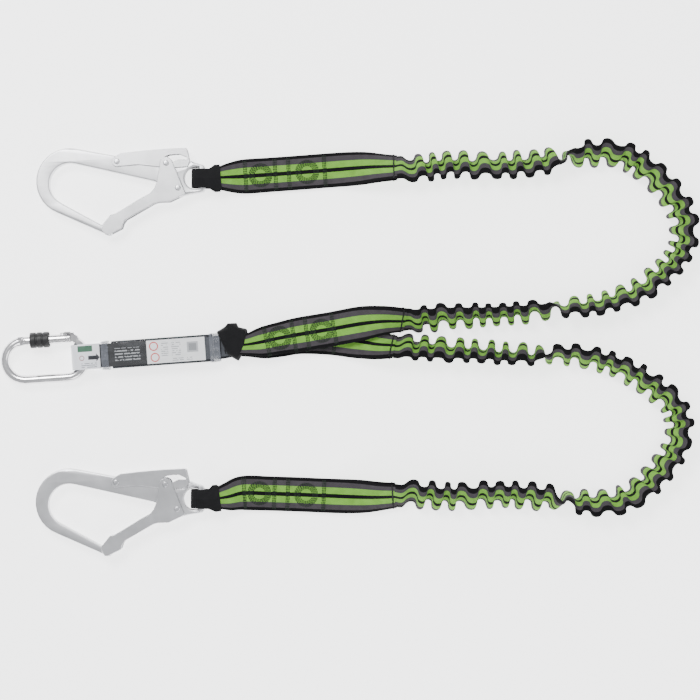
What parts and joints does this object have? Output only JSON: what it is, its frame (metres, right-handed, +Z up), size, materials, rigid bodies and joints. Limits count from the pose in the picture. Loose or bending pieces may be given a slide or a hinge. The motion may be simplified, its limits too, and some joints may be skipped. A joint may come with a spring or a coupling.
{
  "type": "shock absorbing lanyard",
  "caption": "Twin-leg energy absorbing lanyard with gathered elastic webbing legs, scaffold hooks, tear-web absorber pack and screw karabiner.",
  "frame": {"origin": "on the surface it lies on, below the middle of the hooks, absorber and sewn ends together", "axes": "+Z up off the surface, +X from the karabiner to the legs' bends, +Y towards leg a"},
  "size_m": [0.829, 0.4949, 0.0333],
  "materials": {
    "spring_steel": "drawn wire",
    "zinc_rivet": "zinc plated",
    "hook_metal": "satin anodised",
    "black_plastic": "knurled",
    "karabiner_steel": "bright zinc plated",
    "printed_card": "semi-gloss print",
    "white_tag": "printed woven tag",
    "clear_film": "clear shrink film",
    "green_thread": "heavy sewing thread",
    "black_webbing": "woven",
    "elastic": "braided elastic",
    "striped_webbing": "woven green, grey and black stripes",
    "grey_webbing": "woven"
  },
  "bodies": {
    "lanyard": {"harness_loop": "grey_webbing", "harness_loop_tag": "white_tag", "harness_loop_bar_tacks": "black_webbing", "absorber_tear_webbing": "grey_webbing", "absorber_cover": "clear_film", "absorber_card": "printed_card", "absorber_leg_loop": "grey_webbing", "absorber_leg_loop_bar_tacks": "black_webbing", "junction_sleeve": "black_webbing", "leg_a_hook_end": "striped_webbing", "leg_a_loop_cover": "black_webbing", "leg_a_hook_end_stitching": "green_thread", "leg_a_hook_end_tack": "black_webbing", "leg_a_absorber_end": "striped_webbing", "leg_a_absorber_end_stitching": "green_thread", "leg_a_absorber_end_tack": "black_webbing", "leg_a_gathered_sleeve": "striped_webbing", "leg_a_elastic_core": "elastic", "leg_b_hook_end": "striped_webbing", "leg_b_loop_cover": "black_webbing", "leg_b_hook_end_stitching": "green_thread", "leg_b_hook_end_tack": "black_webbing", "leg_b_absorber_end": "striped_webbing", "leg_b_absorber_end_stitching": "green_thread", "leg_b_absorber_end_tack": "black_webbing", "leg_b_gathered_sleeve": "striped_webbing", "leg_b_elastic_core": "elastic"},
    "karabiner": {"karabiner_body": "karabiner_steel", "karabiner_hinge_pin": "karabiner_steel"},
    "karabiner_gate": {"karabiner_gate": "karabiner_steel", "karabiner_latch_pin": "karabiner_steel", "karabiner_plunger": "karabiner_steel", "karabiner_gate_spring": "spring_steel"},
    "karabiner_screw_carrier": {"karabiner_sleeve_bush": "karabiner_steel"},
    "karabiner_screw_sleeve": {"karabiner_sleeve": "black_plastic"},
    "hook_a": {"hook_a_body": "hook_metal", "hook_a_gate_rivet": "zinc_rivet", "hook_a_lever_rivet": "zinc_rivet", "hook_a_gate_spring": "spring_steel", "hook_a_lever_spring": "spring_steel"},
    "hook_a_gate": {"hook_a_gate": "hook_metal", "hook_a_latch_pin": "zinc_rivet"},
    "hook_a_lever": {"hook_a_lever": "hook_metal"},
    "hook_b": {"hook_b_body": "hook_metal", "hook_b_gate_rivet": "zinc_rivet", "hook_b_lever_rivet": "zinc_rivet", "hook_b_gate_spring": "spring_steel", "hook_b_lever_spring": "spring_steel"},
    "hook_b_gate": {"hook_b_gate": "hook_metal", "hook_b_latch_pin": "zinc_rivet"},
    "hook_b_lever": {"hook_b_lever": "hook_metal"}
  },
  "joints": [
    {"name": "karabiner_swing", "type": "hinge", "parent": "lanyard", "child": "karabiner", "pos_m": [-0.143, -0.006, 0.0128], "axis": [-0.0576, 0.9983, 0], "range_deg": [0, 100]},
    {"name": "karabiner_gate_opens", "type": "hinge", "parent": "karabiner", "child": "karabiner_gate", "pos_m": [-0.21262, 0.01322, 0.0128], "axis": [0, 0, 1], "range_deg": [-24, 0], "stiffness_Nm_per_rad": 0.05, "springref_deg": 11.46},
    {"name": "screw_sleeve_slides", "type": "slide", "parent": "karabiner_gate", "child": "karabiner_screw_carrier", "axis": [0.9983, 0.0576, 0], "range_m": [0, 0.0175]},
    {"name": "screw_sleeve_turns", "type": "hinge", "parent": "karabiner_screw_carrier", "child": "karabiner_screw_sleeve", "pos_m": [-0.18916, 0.01458, 0.0128], "axis": [0.9983, 0.0576, 0], "range_deg": [0, 1050]},
    {"name": "hook_a_swing", "type": "hinge", "parent": "lanyard", "child": "hook_a", "pos_m": [-0.0015, 0.2064, 0.0117], "axis": [0, 1, 0], "range_deg": [0, 100]},
    {"name": "hook_a_gate_opens", "type": "hinge", "parent": "hook_a", "child": "hook_a_gate", "pos_m": [-0.0294, 0.1947, 0.0117], "axis": [0, 0, -1], "range_deg": [0, 28], "stiffness_Nm_per_rad": 0.15, "springref_deg": -11.46},
    {"name": "hook_a_lever_presses", "type": "hinge", "parent": "hook_a", "child": "hook_a_lever", "pos_m": [-0.1021, 0.2261, 0.0117], "axis": [0, 0, -1], "range_deg": [0, 4]},
    {"name": "hook_b_swing", "type": "hinge", "parent": "lanyard", "child": "hook_b", "pos_m": [-0.0024, -0.1746, 0.0117], "axis": [0, 1, 0], "range_deg": [0, 100]},
    {"name": "hook_b_gate_opens", "type": "hinge", "parent": "hook_b", "child": "hook_b_gate", "pos_m": [-0.0303, -0.1863, 0.0117], "axis": [0, 0, -1], "range_deg": [0, 28], "stiffness_Nm_per_rad": 0.15, "springref_deg": -11.46},
    {"name": "hook_b_lever_presses", "type": "hinge", "parent": "hook_b", "child": "hook_b_lever", "pos_m": [-0.103, -0.1549, 0.0117], "axis": [0, 0, -1], "range_deg": [0, 4]}
  ],
  "couplings": [
    {"joint": "screw_sleeve_turns", "follows": "screw_sleeve_slides", "rad_per_m": 1047.2},
    {"joint": "hook_a_lever_presses", "follows": "hook_a_gate_opens", "ratio": 0.14},
    {"joint": "hook_b_lever_presses", "follows": "hook_b_gate_opens", "ratio": 0.14}
  ]
}
